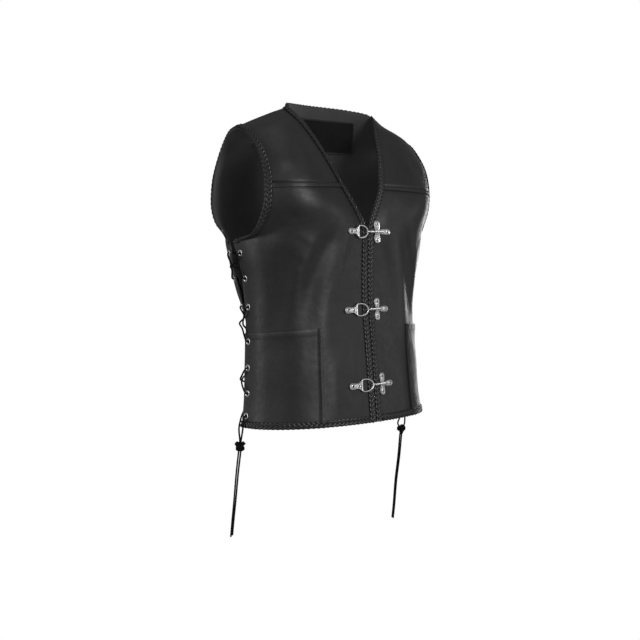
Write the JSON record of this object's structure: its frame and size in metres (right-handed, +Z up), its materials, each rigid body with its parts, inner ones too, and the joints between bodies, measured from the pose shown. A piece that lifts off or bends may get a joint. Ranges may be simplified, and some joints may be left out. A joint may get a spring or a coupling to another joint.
{
  "type": "leather vest with laced sides and hook clasps",
  "caption": "Men's leather vest with a V neck, chest yokes, patch pockets, braided edges, side lacing and hook clasps.",
  "frame": {"origin": "midway between the two shoulder seams, where the wearer's shoulders hold the vest", "axes": "+X to the wearer's left, -Y to the front, +Z up"},
  "size_m": [0.4728, 0.3116, 0.9197],
  "materials": {
    "leather": "smooth satin black",
    "band": "braided satin black",
    "lace": "matte black thong",
    "eyelet_metal": "bright nickel",
    "clasp_metal": "antiqued silver"
  },
  "bodies": {
    "root": {"back_panel": "leather", "front_panel_left": "leather", "front_panel_right": "leather", "yoke_left": "leather", "yoke_right": "leather", "pocket_left": "leather", "pocket_right": "leather", "neck_facing": "leather", "edge_band_left": "band", "edge_band_right": "band", "hem_band_left": "band", "hem_band_right": "band", "armhole_band_left": "band", "armhole_band_right": "band", "back_hem_band": "band", "neck_band": "band", "eyelet_front_1_left": "eyelet_metal", "eyelet_front_1_right": "eyelet_metal", "eyelet_front_2_left": "eyelet_metal", "eyelet_front_2_right": "eyelet_metal", "eyelet_front_3_left": "eyelet_metal", "eyelet_front_3_right": "eyelet_metal", "eyelet_front_4_left": "eyelet_metal", "eyelet_front_4_right": "eyelet_metal", "eyelet_front_5_left": "eyelet_metal", "eyelet_front_5_right": "eyelet_metal", "eyelet_front_6_left": "eyelet_metal", "eyelet_front_6_right": "eyelet_metal", "eyelet_front_7_left": "eyelet_metal", "eyelet_front_7_right": "eyelet_metal", "eyelet_back_1_left": "eyelet_metal", "eyelet_back_1_right": "eyelet_metal", "eyelet_back_2_left": "eyelet_metal", "eyelet_back_2_right": "eyelet_metal", "eyelet_back_3_left": "eyelet_metal", "eyelet_back_3_right": "eyelet_metal", "eyelet_back_4_left": "eyelet_metal", "eyelet_back_4_right": "eyelet_metal", "eyelet_back_5_left": "eyelet_metal", "eyelet_back_5_right": "eyelet_metal", "eyelet_back_6_left": "eyelet_metal", "eyelet_back_6_right": "eyelet_metal", "eyelet_back_7_left": "eyelet_metal", "eyelet_back_7_right": "eyelet_metal", "lace_left": "lace", "knot_left": "lace", "lace_end_1_left": "lace", "lace_end_2_left": "lace", "lace_right": "lace", "knot_right": "lace", "lace_end_1_right": "lace", "lace_end_2_right": "lace", "clasp_hook_1": "clasp_metal", "clasp_ring_1": "clasp_metal", "clasp_hook_2": "clasp_metal", "clasp_ring_2": "clasp_metal", "clasp_hook_3": "clasp_metal", "clasp_ring_3": "clasp_metal"}
  },
  "joints": []
}
